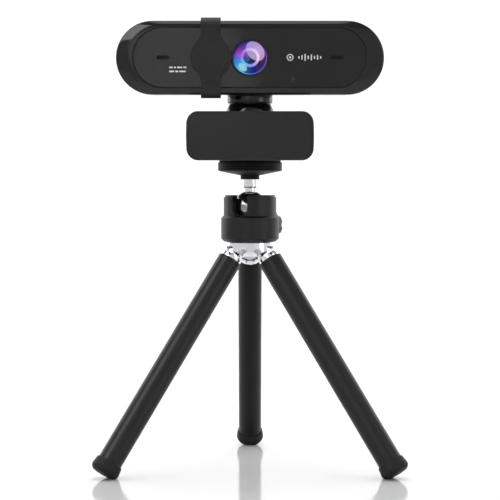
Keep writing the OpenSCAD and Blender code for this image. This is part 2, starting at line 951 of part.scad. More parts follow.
module cable_gland() {
    inner_end = head_depth - wall;
    color(rubber) at_head() difference() {
        union() {
            rod_y(gland_r, inner_end - gland_proud, head_depth + gland_proud);
            rod_y(gland_flange_r, head_depth, head_depth + gland_proud);
            rod_y(gland_flange_r - 0.2, inner_end - gland_proud, inner_end);
        }
        rod_y(cord_r, 0, head_depth + 5 * cut);
    }
}

module lens_ring() {
    rim = 0.6;
    front = -0.1;
    color(gloss_black) at_head() difference() {
        union() {
            rod_y(lens_r - snug, front, panel_back);
            rod_y(lens_r + 1, panel_back, panel_back + 0.5);
        }
        rod_y(lens_r - rim, -cut, 0.6);
        rod_y(lens_r - 1.4, -cut, 2 * panel_t);
    }
}

module lens_glass() {
    color(glass_violet) at_head() rod_y(lens_r - 0.62, -0.05, 0.6);
}

module lens_holder() {
    foot_t = 2;
    foot_w = 16;
    color(gloss_black) at_head() difference() {
        union() {
            rod_y(7, holder_front, holder_rear);
            translate([-foot_w / 2, holder_rear, -foot_w / 2]) cube([foot_w, foot_t, foot_w]);
        }
        rod_y(barrel_r + running, 0, holder_rear + 0.4);
        rod_y(4.6, holder_rear, holder_rear + foot_t + cut);
    }
}

module lens_barrel() {
    color(gloss_black) at_head() difference() {
        rod_y(barrel_r, barrel_front, barrel_rear);
        rod_y(step_r[0], 2, barrel_front + 2.2);
        rod_y(step_r[1], 2, barrel_front + 5.2);
        rod_y(step_r[2], 2, barrel_rear + cut);
    }
}

module lens_elements() {
    dome_r = 9;
    color(element_violet) at_head() translate([0, barrel_front, 0]) {
        intersection() {
            rod_y(step_r[0] - snug, 0.2, 2.2);
            translate([0, 0.3 + dome_r, 0]) sphere(r = dome_r);
        }
        rod_y(step_r[1] - snug, 3.2, 4.4);
        rod_y(step_r[2] - snug, 6.2, 7.6);
    }
}

module sensor_board() {
    color(board_green) at_head() translate([-board_half_l, board_y, -board_half_h])
        cube([2 * board_half_l, board_t, 2 * board_half_h]);
}

module image_sensor() {
    chip = [6.8, 0.9, 5.2];
    color(chip_grey) at_head() translate([-chip[0] / 2, board_y - chip[1], -chip[2] / 2]) cube(chip);
}

// The four corners of the camera unit where its posts stand
module at_board_posts() {
    for (sx = [-1, 1], sz = [-1, 1])
        translate([sx * board_post_x, 0, sz * board_post_z]) children();
}

module main_board() {
    color(board_green) at_head() difference() {
        translate([-main_half_l, main_y, -board_half_h])
            cube([2 * main_half_l, board_t, 2 * board_half_h]);
        at_board_posts() rod_y(0.9, main_y - cut, main_y + 2 * board_t);
    }
}

module board_screws() {
    color(steel) at_head() at_board_posts() {
        rod_y(1.4, board_y + board_t, main_y);
        rod_y(0.88, main_y - 0.1, main_y + board_t);
        rod_y(1.5, main_y + board_t, main_y + board_t + 0.9);
    }
}

module microphones() {
    can = [4, 1.1, 3];
    color(steel) at_head() for (side = [-1, 1])
        translate([side * mic_x - can[0] / 2, panel_back + 0.3, -can[2] / 2]) cube(can);
}

module mic_mesh() {
    color(mesh_grey) at_head() for (side = [-1, 1]) translate([side * mic_x, 0, 0])
        stadium_plate(mic_half_l + 0.55, mic_half_h + 0.55, panel_back, panel_back + 0.3);
}

module led_window() {
    color(lamp_green) at_head() translate([led_x, 0, led_z]) {
        rod_y(led_r - snug, panel_sink + 0.1, panel_back);
        rod_y(led_r + 0.3, panel_back, panel_back + 0.7);
    }
}

// The sliding cover's side outline, the same above and below the lens
module cover_outline() {
    inner_h = cover_half_h - 1;
    back = cover_front + cover_t;
    shoulder_y = 0.8;
    hook_from = band_end + 0.2;
    hook_to = hook_from + 0.9;
    hook_edge = 0.3;
    hook_z = trim_half_h + 0.1;
    for (side = [0, 1]) mirror([0, side])
        polygon([[cover_front, 0], [cover_front, cover_bend_z], [shoulder_y, cover_half_h],
                 [hook_to - hook_edge, cover_half_h], [hook_to, cover_half_h - hook_edge],
                 [hook_to, hook_z], [hook_from, hook_z], [hook_from, inner_h],
                 [shoulder_y + 0.3, inner_h], [back, cover_bend_z - 0.9], [back, 0]]);
}

module privacy_cover() {
    color(cover_black) at_head() translate([cover_x, 0, 0]) {
        along_x(-cover_arm_w / 2, cover_arm_w / 2) cover_outline();
        rod_y(cover_r - cover_step, cover_front, cover_front + cover_step);
        rod_y(cover_r, cover_front + cover_step, cover_front + cover_t);
    }
}

hub();
hub_screw();
pivot_pins();
left_knuckle();
left_tube();
left_foot();
right_knuckle();
right_tube();
right_foot();
rear_knuckle();
rear_tube();
rear_foot();
base_collar();
ball_cup();
ball_seat();
lock_knob();
lock_screw();
ball();
ball_stem();
platform();
platform_pad();
mounting_screw();
folding_leg();
leg_pad();
thread_insert();
hinge_shaft();
hinge_screws();
shelf_top();
shelf_bottom();
shelf_screws();
front_plate();
lip_pad();
friction_sleeve();
neck_ball();
swivel_pin();
pin_nut();
neck_collar();
front_bezel();
front_panel();
trim_ring();
rear_housing();
housing_screws();
cable_gland();
lens_ring();
lens_glass();
lens_holder();
lens_barrel();
lens_elements();
sensor_board();
image_sensor();
main_board();
board_screws();
microphones();
mic_mesh();
led_window();
privacy_cover();
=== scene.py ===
"""Looks of a webcam with a sliding privacy cover, its monitor clip and a mini ball-head tripod."""

import json
import math

import bmesh
import bpy
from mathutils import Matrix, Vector

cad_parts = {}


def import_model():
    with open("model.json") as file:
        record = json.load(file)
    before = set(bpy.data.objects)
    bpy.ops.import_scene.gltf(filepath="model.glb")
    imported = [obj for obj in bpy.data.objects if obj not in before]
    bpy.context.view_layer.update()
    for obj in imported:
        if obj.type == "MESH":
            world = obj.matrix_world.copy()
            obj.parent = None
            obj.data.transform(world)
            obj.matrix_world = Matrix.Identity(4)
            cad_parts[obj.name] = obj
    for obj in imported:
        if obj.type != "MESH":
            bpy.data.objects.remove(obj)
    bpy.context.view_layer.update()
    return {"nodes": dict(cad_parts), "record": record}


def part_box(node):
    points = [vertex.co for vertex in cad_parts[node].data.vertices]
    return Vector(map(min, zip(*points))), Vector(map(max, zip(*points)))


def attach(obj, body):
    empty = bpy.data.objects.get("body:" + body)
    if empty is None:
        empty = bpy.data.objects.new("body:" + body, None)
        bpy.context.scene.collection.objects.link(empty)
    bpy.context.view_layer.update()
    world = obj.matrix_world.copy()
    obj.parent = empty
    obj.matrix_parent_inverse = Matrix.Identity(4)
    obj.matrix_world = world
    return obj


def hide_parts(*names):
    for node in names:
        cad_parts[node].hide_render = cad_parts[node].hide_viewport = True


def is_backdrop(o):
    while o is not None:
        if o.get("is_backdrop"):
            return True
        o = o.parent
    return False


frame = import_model()
nodes = frame["nodes"]
scene = bpy.context.scene
MM = 0.001
MICRON = 1e-6
WELD = 2 * MICRON

# The head's own frame: x to the right, y backwards from the bezel's front and z up from the lens's axis.
panel_low, panel_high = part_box("front_panel")
bezel_low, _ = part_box("front_bezel")
HEAD = Vector((
    (panel_low.x + panel_high.x) / 2,
    bezel_low.y,
    (panel_low.z + panel_high.z) / 2,
))

# Millimetre sizes of the head, as in the CAD part: half lengths and half heights, depths and a radius.
# A printed mark reaches from just in front of its face to just behind it.
PANEL_L, PANEL_H = 43.4, 11.1
HEAD_L, HEAD_H = 50.0, 13.8
PANEL_FRONT = 0.1
SLOPE_END = 1.7
BAND_END = 4.8
LENS_R = 6.48
MARK_PROUD, MARK_SUNK = 0.02, 0.05

BLACK = (0, 0, 0)
WHITE = (1, 1, 1)


# ---------------------------------------------------------------- materials

class Nodes:
    """A node tree of a material or a world, with short calls for the nodes used here."""

    def __init__(self, owner):
        owner.use_nodes = True
        self.tree = owner.node_tree

    def feed(self, socket, value):
        """Give a socket a constant, or link the output of another node to it."""
        if isinstance(value, bpy.types.NodeSocket):
            self.tree.links.new(value, socket)
        elif socket.type == "RGBA":
            socket.default_value = (*value, 1)
        else:
            socket.default_value = value

    def node(self, kind, **values):
        """A node with settings and sockets by name, where an underscore stands for a space."""
        made = self.tree.nodes.new(kind)
        for key, value in values.items():
            if hasattr(made, key):
                setattr(made, key, value)
            else:
                self.feed(made.inputs[key.replace("_", " ")], value)
        return made

    def coordinates(self, kind="Object"):
        return self.node("ShaderNodeTexCoord").outputs[kind]

    def split(self, vector):
        made = self.node("ShaderNodeSeparateXYZ", Vector=vector)
        return made.outputs["X"], made.outputs["Y"], made.outputs["Z"]

    def noise(self, scale, detail=3.0):
        """Noise whose scale is in features per metre of the object."""
        place = self.coordinates()
        return self.node("ShaderNodeTexNoise", Scale=scale, Detail=detail, Vector=place).outputs["Fac"]

    def spread(self, value, low, high):
        return self.node("ShaderNodeMapRange", Value=value, To_Min=low, To_Max=high).outputs["Result"]

    def maths(self, operation, *values, kind="ShaderNodeMath"):
        made = self.node(kind, operation=operation)
        for socket, value in zip(made.inputs, values):
            self.feed(socket, value)
        return made.outputs[0]

    def ramp(self, value, stops, interpolation="EASE"):
        """Colours along a value; each stop is a place and a colour."""
        made = self.node("ShaderNodeValToRGB", Fac=value)
        made.color_ramp.interpolation = interpolation
        elements = made.color_ramp.elements
        while len(elements) < len(stops):
            elements.new(0.5)
        for element, (place, color) in zip(elements, stops):
            element.position = place
            element.color = (*color, 1)
        return made.outputs["Color"]

    def mixed(self, factor, first, second):
        made = self.node("ShaderNodeMix", data_type="RGBA", Factor=factor)
        colors = [socket for socket in made.inputs if socket.type == "RGBA"]
        self.feed(colors[0], first)
        self.feed(colors[1], second)
        return next(socket for socket in made.outputs if socket.type == "RGBA")


class Shader(Nodes):
    """A Principled material that gets its detail from nodes."""

    def __init__(self, name, color, roughness, **sockets):
        self.material = bpy.data.materials.new(name)
        super().__init__(self.material)
        self.bsdf = self.tree.nodes["Principled BSDF"]
        self.normal = None
        for key, value in dict(Base_Color=color, Roughness=roughness, **sockets).items():
            self.feed(self.bsdf.inputs[key.replace("_", " ")], value)

    def rough_between(self, value, low, high):
        self.feed(self.bsdf.inputs["Roughness"], self.spread(value, low, high))

    def color_between(self, value, low, high):
        self.feed(self.bsdf.inputs["Base Color"], self.mixed(value, low, high))

    def bump(self, height, strength, depth):
        """Relief of a depth in microns, on top of any relief that is already there."""
        made = self.node("ShaderNodeBump", Strength=strength, Distance=depth * MICRON, Height=height)
        if self.normal is not None:
            self.feed(made.inputs["Normal"], self.normal)
        self.normal = made.outputs["Normal"]
        self.feed(self.bsdf.inputs["Normal"], self.normal)


def scaled(color, factor):
    return tuple(min(1.0, c * factor) for c in color)


def moulded(name, color, roughness, coat=0.0, gloss=0.3, grain=9000.0, depth=20):
    """Moulded plastic: fine grain, with slow changes of gloss and shade."""
    s = Shader(name, color, roughness, Coat_Weight=coat, Coat_Roughness=0.08, Specular_IOR_Level=gloss)
    s.rough_between(s.noise(60.0), roughness - 0.06, roughness + 0.06)
    s.color_between(s.noise(35.0), scaled(color, 0.85), scaled(color, 1.15))
    s.bump(s.noise(grain, 2.0), 0.5, depth)
    return s.material


def painted(name, color, roughness, depth=20, gloss=0.28):
    """Paint, which has a coarser grain than a moulding."""
    return moulded(name, color, roughness, gloss=gloss, grain=5000.0, depth=depth)


def polished(name, color, roughness=0.06, coat=0.2):
    """Polished plastic: nearly a mirror, with the faint ripple of moulding."""
    s = Shader(name, color, roughness, Coat_Weight=coat, Coat_Roughness=0.03, Specular_IOR_Level=0.3)
    s.rough_between(s.noise(90.0, 4.0), roughness * 0.6, roughness * 1.5)
    s.color_between(s.noise(25.0), scaled(color, 0.8), scaled(color, 1.2))
    s.bump(s.noise(70.0, 1.0), 0.04, 40)
    return s.material


def metal(name, color, roughness, depth=4):
    """Turned or plated metal with a fine grain."""
    s = Shader(name, color, roughness, Metallic=1.0)
    grain = s.noise(900.0, 2.0)
    s.rough_between(grain, roughness * 0.6, roughness * 1.5)
    s.color_between(s.noise(80.0), scaled(color, 0.92), scaled(color, 1.05))
    s.bump(grain, 0.25, depth)
    return s.material


def rubbery(name, color, roughness):
    """Dull rubber: patchy shade and a deep, soft grain."""
    s = Shader(name, color, roughness, Specular_IOR_Level=0.3)
    s.rough_between(s.noise(300.0), roughness - 0.12, roughness + 0.1)
    s.color_between(s.noise(120.0, 5.0), scaled(color, 0.8), scaled(color, 1.35))
    s.bump(s.noise(5000.0), 0.6, 40)
    return s.material


def laminate(name, lacquer, copper):
    """Circuit board with tracks under the lacquer."""
    s = Shader(name, lacquer, 0.35, Coat_Weight=0.4)
    tracks = s.node("ShaderNodeTexBrick", Scale=600.0, Vector=s.coordinates()).outputs["Fac"]
    s.color_between(tracks, lacquer, copper)
    s.bump(tracks, 0.3, 30)
    return s.material


# One look for each material slot. The loaded CAD already has materials of these names, so Blender adds a
# number to the name of each new one.
looks = {made.name.split(".")[0]: made for made in (
    polished("gloss_shell", (0.0045, 0.0045, 0.005)),
    moulded("satin_shell", (0.009, 0.009, 0.0093), 0.36, coat=0.1),
    moulded("cover_plastic", (0.0075, 0.0075, 0.0078), 0.42),
    moulded("clip_plastic", (0.0105, 0.0105, 0.0108), 0.46),
    moulded("inner_plastic", (0.55, 0.52, 0.44), 0.5),
    moulded("lens_black", (0.004, 0.004, 0.005), 0.5),
    metal("steel", (0.5, 0.5, 0.515), 0.3),
    metal("chrome", (0.86, 0.86, 0.88), 0.07, depth=1),
    metal("trim_metal", (0.6, 0.6, 0.62), 0.2),
    painted("leg_paint", (0.0095, 0.0095, 0.0098), 0.36, depth=10),
    painted("head_paint", (0.0075, 0.0075, 0.0078), 0.4),
    rubbery("rubber", (0.006, 0.006, 0.006), 0.62),
    laminate("board", (0.02, 0.16, 0.06), (0.05, 0.3, 0.12)),
    polished("chip", (0.03, 0.03, 0.05)),
    polished("led_tint", (0.003, 0.014, 0.004), 0.15),
    polished("glass", (0.02, 0.015, 0.05), 0.04, 1.0),
)}
print_white = moulded("print_white", (0.62, 0.62, 0.64), 0.45)
print_dark = moulded("print_dark", (0.002, 0.002, 0.002), 0.6)

# Pieces whose finish differs from the rest of their slot. The rear leg wears a darker copy of the leg paint
# as painted shade.
# The platform reads darker than the other painted pieces.
own_looks = {
    "ball": metal("ball_chrome", (0.32, 0.32, 0.33), 0.12, depth=1),
    "lock_knob": looks["head_paint"],
    "platform": painted("platform_black", (0.0035, 0.0035, 0.0037), 0.48, gloss=0.14),
    # Painted shade: the same leg paint as the other legs, made darker.
    "rear_tube": painted("leg_paint_painted_shade", (0.004, 0.004, 0.0042), 0.36, depth=10, gloss=0.16),
}
slot_of = {row["node"]: row["material_slot"] for row in frame["record"]["subparts"]}


def wear(obj, material):
    obj.data.materials.clear()
    obj.data.materials.append(material)


for name, obj in nodes.items():
    wear(obj, own_looks.get(name, looks[slot_of[name]]))


# ---------------------------------------------------------------- finish of the CAD pieces

def rounded(obj, width_mm, segments, angle):
    """A modifier that rounds the edges sharper than an angle in degrees."""
    edge = obj.modifiers.new("edge", "BEVEL")
    edge.width = width_mm * MM
    edge.segments = segments
    edge.limit_method = "ANGLE"
    edge.angle_limit = math.radians(angle)
    return edge


def soften(obj, width_mm):
    """Smooth shading with small rounded edges, as modifiers, so that the CAD mesh stays as it is."""
    obj.data.shade_smooth()
    obj.modifiers.new("weld", "WELD").merge_threshold = WELD
    rounded(obj, width_mm, segments=2, angle=35)
    level = obj.modifiers.new("level", "WEIGHTED_NORMAL")
    level.weight = 100
    level.keep_sharp = True


# Millimetre widths of the rounded edges; every other piece has the smallest one.
SMALLEST_EDGE = 0.05
EDGES = {
    0.3: ("shelf_top", "folding_leg", "lock_knob"),
    0.25: ("front_plate", "shelf_bottom", "leg_pad"),
    0.2: ("ball_cup",),
    0.15: ("lip_pad", "platform", "base_collar", "hub", "cable_gland", "left_knuckle", "right_knuckle",
           "rear_knuckle"),
    0.12: ("neck_collar", "neck_ball"),
    0.1: ("platform_pad", "rear_housing", "front_panel", "friction_sleeve", "hinge_screws", "left_foot",
          "right_foot", "rear_foot"),
    0.08: ("lens_ring", "left_tube", "right_tube", "rear_tube"),
}
edge_of = {name: width for width, names in EDGES.items() for name in names}
for name, obj in nodes.items():
    soften(obj, edge_of.get(name, SMALLEST_EDGE))


# ---------------------------------------------------------------- mesh helpers

def head_point(x, y, z):
    """A point in the world, from millimetres in the head's frame."""
    return HEAD + Vector((x, y, z)) * MM


def box_middle(node):
    """The middle of a CAD node's box, in millimetres in the head's frame."""
    low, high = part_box(node)
    return ((low + high) / 2 - HEAD) / MM


def add_piece(mesh, material, body, sharp, weld=None):
    """A piece from a mesh in world metres, riding on a CAD body.

    Edges sharper than an angle in degrees stay hard, and with None every face is flat.
    """
    bm = bmesh.new()
    bm.from_mesh(mesh)
    if weld:
        bmesh.ops.remove_doubles(bm, verts=bm.verts, dist=weld)
    bmesh.ops.recalc_face_normals(bm, faces=bm.faces)
    bm.to_mesh(mesh)
    bm.free()
    obj = bpy.data.objects.new(mesh.name, mesh)
    scene.collection.objects.link(obj)
    if sharp is not None:
        mesh.shade_smooth()
        mesh.set_sharp_from_angle(angle=math.radians(sharp))
    wear(obj, material)
    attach(obj, body)
    return obj


def loft(rings, closed=False, caps=False):
    """Points and faces through rings of equal length; closed joins the last ring to the first."""
    count = len(rings[0])
    points = [tuple(p) for ring in rings for p in ring]
    faces = []
    for i in range(len(rings) if closed else len(rings) - 1):
        a, b = i * count, (i + 1) % len(rings) * count
        for j in range(count):
            k = (j + 1) % count
            faces.append((a + j, a + k, b + k, b + j))
    if caps:
        faces.append(tuple(range(count)))
        faces.append(tuple(range(len(points) - count, len(points))))
    return points, faces


def lofted(name, rings, material, body, closed=False, sharp=38):
    """A piece whose skin runs through rings of equal length."""
    points, faces = loft(rings, closed, caps=not closed)
    mesh = bpy.data.meshes.new(name)
    mesh.from_pydata(points, [], faces)
    return add_piece(mesh, material, body, sharp)


def stadium_ring(half_l, half_h, y):
    """One ring of the head's outline at depth y, with the same count of points for every size."""
    arc, straight = 40, 24
    middle = half_l - half_h
    ring = []
    for side in (1, -1):
        for i in range(arc + 1):
            a = math.radians(90 - 180 * i / arc)
            ring.append(head_point(side * (middle + half_h * math.cos(a)), y, side * half_h * math.sin(a)))
        for i in range(1, straight):
            ring.append(head_point(side * middle * (1 - 2 * i / straight), y, -side * half_h))
    return ring


def circle(r, count=40, x=0.0, z=0.0):
    turns = [2 * math.pi * i / count for i in range(count)]
    return [(x + r * math.cos(a), z + r * math.sin(a)) for a in turns]


def stadium(half_l, half_h, x=0.0, arc=48):
    middle = half_l - half_h
    turns = [math.radians(-90 + 180 * i / arc) for i in range(arc + 1)]
    right = [(x + middle + half_h * math.cos(a), half_h * math.sin(a)) for a in turns]
    return right + [(2 * x - a, -b) for a, b in right]


def bar(w, h):
    return [(-w / 2, -h / 2), (w / 2, -h / 2), (w / 2, h / 2), (-w / 2, h / 2)]


def turned(name, profile, material, body, centre=(0, 0), segments=96, closed=True):
    """A piece turned about an axis along Y through centre; profile is a list of (radius, y)."""
    rings = [[head_point(x, y, z) for x, z in circle(r, segments, *centre)] for r, y in profile]
    return lofted(name, rings, material, body, closed)


def flat_mark(name, outline, centre, y, material, body):
    """A thin printed mark that stands just proud of a front face at depth y."""
    rings = [
        [head_point(centre[0] + a, depth, centre[1] + b) for a, b in outline]
        for depth in (y - MARK_PROUD, y + MARK_SUNK)
    ]
    return lofted(name, rings, material, body, sharp=None)


def plate(name, outlines, front, back, edge, material, body, sharp=12):
    """A flat plate between two depths, from an outline and its holes, with a small rounded edge."""
    data = bpy.data.curves.new(name, "CURVE")
    data.dimensions = "2D"
    data.fill_mode = "BOTH"
    data.extrude = ((back - front) / 2 - edge) * MM
    data.bevel_depth = edge * MM
    data.bevel_resolution = 2
    data.offset = -edge * MM
    for outline in outlines:
        spline = data.splines.new("POLY")
        spline.points.add(len(outline) - 1)
        for point, (x, z) in zip(spline.points, outline):
            point.co = (x * MM, z * MM, 0, 1)
        spline.use_cyclic_u = True
    shape = bpy.data.objects.new(name + "_shape", data)
    mesh = bpy.data.meshes.new_from_object(shape)
    bpy.data.objects.remove(shape)
    bpy.data.curves.remove(data)
    mesh.name = name
    for vert in mesh.vertices:
        x, z, depth = vert.co / MM
        vert.co = head_point(x, (front + back) / 2 - depth, z)
    return add_piece(mesh, material, body, sharp, WELD)


# ---------------------------------------------------------------- head

def bezel():
    """The polished front frame: a crowned slope, a straight band and a hollow back."""
    seam, wall, ledge = 0.12, 1.6, 1.7
    ledge_front, hollow_front = 1.15, 2.6
    inner_l, inner_h = PANEL_L + seam, PANEL_H + seam
    crown_l, crown_h = inner_l + 0.28, inner_h + 0.24
    crown_end = SLOPE_END * 0.82
    steps = 14
    # Up from the seam beside the panel, and round the lip to the crown
    profile = [
        (inner_l, inner_h, 1.0),
        (inner_l, inner_h, 0.22),
        (inner_l + 0.1, inner_h + 0.1, 0.06),
        (crown_l, crown_h, 0.0),
    ]
    for i in range(1, steps + 1):
        t = i / steps
        profile.append((
            crown_l + (HEAD_L - 0.35 - crown_l) * t,
            crown_h + (HEAD_H - 0.3 - crown_h) * t,
            crown_end * t ** 1.35,
        ))
    # Round the outer edge, back along the band, and in to the hollow and the ledge behind the panel
    profile += [
        (HEAD_L - 0.14, HEAD_H - 0.13, crown_end + 0.13),
        (HEAD_L - 0.03, HEAD_H - 0.03, crown_end + 0.36),
        (HEAD_L, HEAD_H, SLOPE_END + 0.35),
        (HEAD_L, HEAD_H, BAND_END - 0.3),
        (HEAD_L - 0.1, HEAD_H - 0.1, BAND_END - 0.06),
        (HEAD_L - 0.3, HEAD_H - 0.3, BAND_END),
        (HEAD_L - wall, HEAD_H - wall, BAND_END),
        (HEAD_L - wall, HEAD_H - wall, hollow_front),
        (inner_l - ledge, inner_h - ledge, hollow_front),
        (inner_l - ledge, inner_h - ledge, ledge_front),
    ]
    rings = [stadium_ring(*row) for row in profile]
    obj = lofted("bezel_frame", rings, looks["gloss_shell"], "head", closed=True)
    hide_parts("front_bezel")


def front_panel():
    """The flat gloss panel, with its openings for the lens, the microphones and the lamp."""
    clearance, lens_hole, lamp_hole = 0.06, 7.1, 1.0
    slot_l, slot_h, slot_x = 2.25, 0.65, 32.4
    thick, edge = 1.0, 0.09
    light = box_middle("led_window")
    outlines = [stadium(PANEL_L - clearance, PANEL_H - clearance), circle(lens_hole, 96)]
    outlines += [stadium(slot_l, slot_h, side * slot_x, 12) for side in (-1, 1)]
    outlines += [circle(lamp_hole, 32, light.x, light.z)]
    back = PANEL_FRONT + thick
    obj = plate("gloss_panel", outlines, PANEL_FRONT, back, edge, looks["gloss_shell"], "head")
    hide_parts("front_panel")


def screen_plate():
    """The plate in front of the screen: round corners, and sides that bow out a little."""
    low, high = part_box("front_plate")
    half_w, half_h = (high.x - low.x) / 2 / MM, (high.z - low.z) / 2 / MM
    front, middle = (low.y - HEAD.y) / MM, box_middle("front_plate").z
    back, edge, corner, bow = 2.25, 0.55, 4.2, 0.45
    corner_steps, side_steps = 18, 12
    outline = []
    for sx, sz, start in ((1, 1, 0), (-1, 1, 90), (-1, -1, 180), (1, -1, 270)):
        for i in range(corner_steps + 1):
            a = math.radians(start + 90 * i / corner_steps)
            outline.append((
                sx * (half_w - corner) + corner * math.cos(a),
                sz * (half_h - corner) + corner * math.sin(a),
            ))
        if start in (90, 270):
            for i in range(1, side_steps):
                outline.append((sx * half_w, sz * (half_h - corner) * (1 - 2 * i / side_steps)))

    def bowed(x, z):
        return x - math.copysign(bow * (z / half_h) ** 2, x) * (abs(x) / half_w) ** 6

    placed = [(bowed(x, z), z + middle) for x, z in outline]
    obj = plate("screen_plate", [placed], front, back, edge, looks["clip_plastic"], "shelf", sharp=25)
    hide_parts("front_plate")


def cover_half_width(z):
    """Half width of the cover's front at height z: a disc, a hollow curve and a straight arm."""
    disc, arm = 7.65, 3.7
    curve_from, curve_to = 5.4, 8.9
    z = abs(z)
    if z <= curve_from:
        return math.sqrt(disc * disc - z * z)
    if z >= curve_to:
        return arm
    t = (z - curve_from) / (curve_to - curve_from)
    start = math.sqrt(disc * disc - curve_from * curve_from)
    slope = -curve_from / start * (curve_to - curve_from)
    return (2 * t**3 - 3 * t**2 + 1) * start + (t**3 - 2 * t**2 + t) * slope + (3 * t**2 - 2 * t**3) * arm


def privacy_cover():
    """The sliding cover: a disc on two arms that hook behind the bezel's band."""
    middle = box_middle("privacy_cover").x
    front, back, top = -1.75, -0.45, 14.9
    inner_top = top - 1.0
    step, steps, arrow_z = 0.3, 37, -9.3
    # Outer and inner (y, z) from the middle up the flat face, over the top and down the hook
    half = [((front, step * i), (back, step * i)) for i in range(steps + 1)]
    half += [
        ((front, 11.6), (back, 11.2)),
        ((front + 0.12, 12.3), (back + 0.1, 11.5)),
        ((0.72, 14.78), (1.05, inner_top - 0.12)),
        ((0.95, top), (1.25, inner_top)),
        ((5.4, top), (4.95, inner_top)),
        ((5.75, top - 0.1), (5.0, inner_top - 0.08)),
        ((5.9, top - 0.35), (5.02, inner_top - 0.3)),
        ((5.9, 13.62), (5.02, 13.62)),
    ]
    mirrored = [((oy, -oz), (iy, -iz)) for (oy, oz), (iy, iz) in reversed(half[1:])]
    rings = []
    for (oy, oz), (iy, iz) in mirrored + half:
        left, right = middle - cover_half_width(oz), middle + cover_half_width(oz)
        corners = ((left, oy, oz), (right, oy, oz), (right, iy, iz), (left, iy, iz))
        rings.append([head_point(*corner) for corner in corners])
    obj = lofted("sliding_cover", rings, looks["cover_plastic"], "cover")
    rounded(obj, 0.28, segments=3, angle=38).harden_normals = True
    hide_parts("privacy_cover")

    ridge = [(5.5, -0.03), (5.62, 0.04), (5.75, 0.06), (5.88, 0.04), (6.0, -0.03)]
    profile = [(r, front - proud) for r, proud in ridge]
    turned("cover_ring", profile, looks["cover_plastic"], "cover", (middle, 0))

    tip, barb, stem, wide = 2.5, 1.35, 0.2, 0.62
    arrow = [(-tip, 0), (-barb, wide), (-barb, stem), (barb, stem), (barb, wide), (tip, 0),
             (barb, -wide), (barb, -stem), (-barb, -stem), (-barb, -wide)]
    flat_mark("cover_arrow", arrow, (middle, arrow_z), front, print_dark, "cover")


